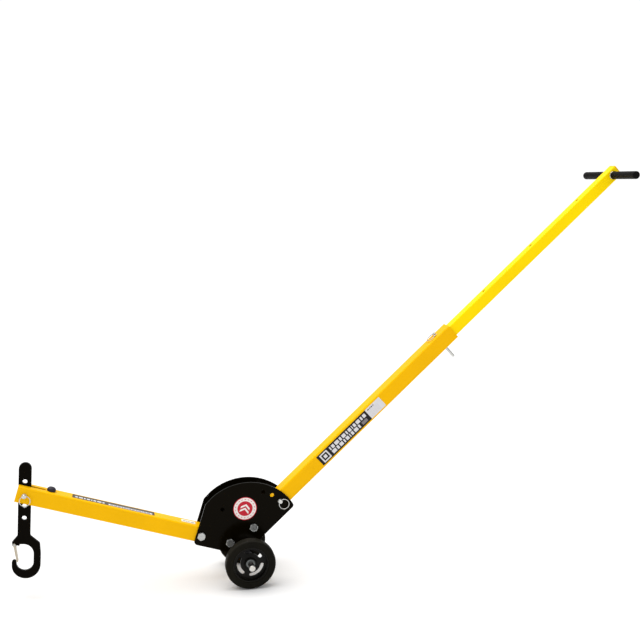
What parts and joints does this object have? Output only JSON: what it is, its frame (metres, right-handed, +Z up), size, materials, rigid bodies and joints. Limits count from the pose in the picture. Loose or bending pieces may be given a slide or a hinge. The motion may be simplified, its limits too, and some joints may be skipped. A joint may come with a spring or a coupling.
{
  "type": "manhole cover lifter",
  "caption": "Folding wheeled lever lift: hinged telescoping handle, sector side plates, lifting arm and a hanging gated hook plate.",
  "frame": {"origin": "centre of the bounding box on the floor, under the wheels' lowest point", "axes": "+X toward the grips along the unit's length, -X toward the hook, -Y the near side, +Z up"},
  "size_m": [1.9746, 0.332, 1.3042],
  "materials": {
    "yellow_paint": "gloss powder coat",
    "yellow_paint_light": "gloss powder coat",
    "black_paint": "gloss powder coat",
    "black_steel": "satin",
    "zinc": "bright zinc plate",
    "rubber": "matte",
    "tyre": "matte",
    "hub_plastic": "satin",
    "nylon_white": "satin",
    "nylon_black": "satin",
    "label_dark": "printed film",
    "label_pale": "printed film",
    "sticker": "printed film"
  },
  "bodies": {
    "frame": {"front_side_plate": "black_paint", "rear_side_plate": "black_paint", "lifting_arm_tube": "yellow_paint", "arm_bumper": "rubber", "arm_outer_bolt": "zinc", "arm_outer_nut": "zinc", "arm_outer_sleeve": "zinc", "arm_inner_bolt": "zinc", "arm_inner_nut": "zinc", "arm_inner_sleeve": "zinc", "handle_pivot_bolt": "zinc", "handle_pivot_nut": "zinc", "axle": "zinc", "near_axle_spacer": "black_steel", "far_axle_spacer": "black_steel", "near_axle_washer": "zinc", "far_axle_washer": "zinc", "near_retaining_ring": "zinc", "far_retaining_ring": "zinc", "arm_label": "label_dark", "arm_size_label": "label_pale", "front_plate_sticker": "sticker", "rear_plate_sticker": "sticker"},
    "near_wheel": {"near_wheel_tyre": "tyre", "near_wheel_hub": "hub_plastic", "near_wheel_bushing": "nylon_white"},
    "far_wheel": {"far_wheel_tyre": "tyre", "far_wheel_hub": "hub_plastic", "far_wheel_bushing": "nylon_white"},
    "handle": {"handle_lower_tube": "yellow_paint", "handle_pivot_bushing": "nylon_white", "telescope_top_guide": "nylon_black", "handle_label": "label_dark"},
    "extension": {"handle_upper_tube": "yellow_paint_light", "telescope_bottom_guide": "nylon_black", "handle_end_cap": "yellow_paint", "t_bar": "zinc", "near_grip": "rubber", "far_grip": "rubber", "near_grip_washer": "zinc", "far_grip_washer": "zinc"},
    "hook": {"hook_plate": "black_paint", "gate_rivet": "zinc", "gate_spring": "zinc"},
    "gate": {"hook_gate": "zinc"},
    "lock_pin_body": {"lock_pin": "zinc", "lock_pin_tip": "zinc"},
    "lock_ring": {"lock_pin_ring": "zinc"},
    "hook_pin_body": {"hook_pin": "zinc"},
    "hook_ring": {"hook_pin_ring": "zinc"},
    "telescope_pin_body": {"telescope_pin": "zinc", "telescope_pin_tip": "zinc"},
    "telescope_ring": {"telescope_pin_ring": "zinc"}
  },
  "joints": [
    {"name": "handle_fold", "type": "hinge", "parent": "frame", "child": "handle", "pos_m": [-0.24641, 0, 0.16763], "axis": [0, -1, 0], "range_deg": [0, 114.5]},
    {"name": "telescope_slide", "type": "slide", "parent": "handle", "child": "extension", "axis": [-0.7361, 0, -0.6769], "range_m": [0, 0.6477]},
    {"name": "near_wheel_spin", "type": "hinge", "parent": "frame", "child": "near_wheel", "pos_m": [-0.26764, -0.105, 0.0785], "axis": [0, 1, 0], "continuous": true},
    {"name": "far_wheel_spin", "type": "hinge", "parent": "frame", "child": "far_wheel", "pos_m": [-0.26764, 0.105, 0.0785], "axis": [0, 1, 0], "continuous": true},
    {"name": "hook_swing", "type": "hinge", "parent": "frame", "child": "hook", "pos_m": [-0.93939, 0, 0.31721], "axis": [0, 1, 0], "range_deg": [-30, 58]},
    {"name": "gate_open", "type": "hinge", "parent": "hook", "child": "gate", "pos_m": [-0.97604, 0, 0.15865], "axis": [0, -1, 0], "range_deg": [0, 30], "stiffness_Nm_per_rad": 0.06, "springref_deg": -20.05},
    {"name": "lock_pin_pull", "type": "slide", "parent": "frame", "child": "lock_pin_body", "axis": [0, -1, 0], "range_m": [0, 0.075]},
    {"name": "lock_ring_flap", "type": "hinge", "parent": "lock_pin_body", "child": "lock_ring", "pos_m": [-0.16007, -0.0369, 0.24703], "axis": [-0.6018, 0, -0.7986], "range_deg": [0, 90]},
    {"name": "hook_pin_pull", "type": "slide", "parent": "frame", "child": "hook_pin_body", "axis": [0, -1, 0], "range_m": [0, 0.066]},
    {"name": "hook_ring_flap", "type": "hinge", "parent": "hook_pin_body", "child": "hook_ring", "pos_m": [-0.93939, -0.0315, 0.31721], "axis": [-0.9945, 0, -0.1045], "range_deg": [0, 90]},
    {"name": "telescope_pin_pull", "type": "slide", "parent": "handle", "child": "telescope_pin_body", "axis": [-0.6769, 0, 0.7361], "range_m": [0, 0.1]},
    {"name": "telescope_ring_flap", "type": "hinge", "parent": "telescope_pin_body", "child": "telescope_ring", "pos_m": [0.3551, 0, 0.76246], "axis": [0, 1, 0], "range_deg": [0, 150]}
  ]
}
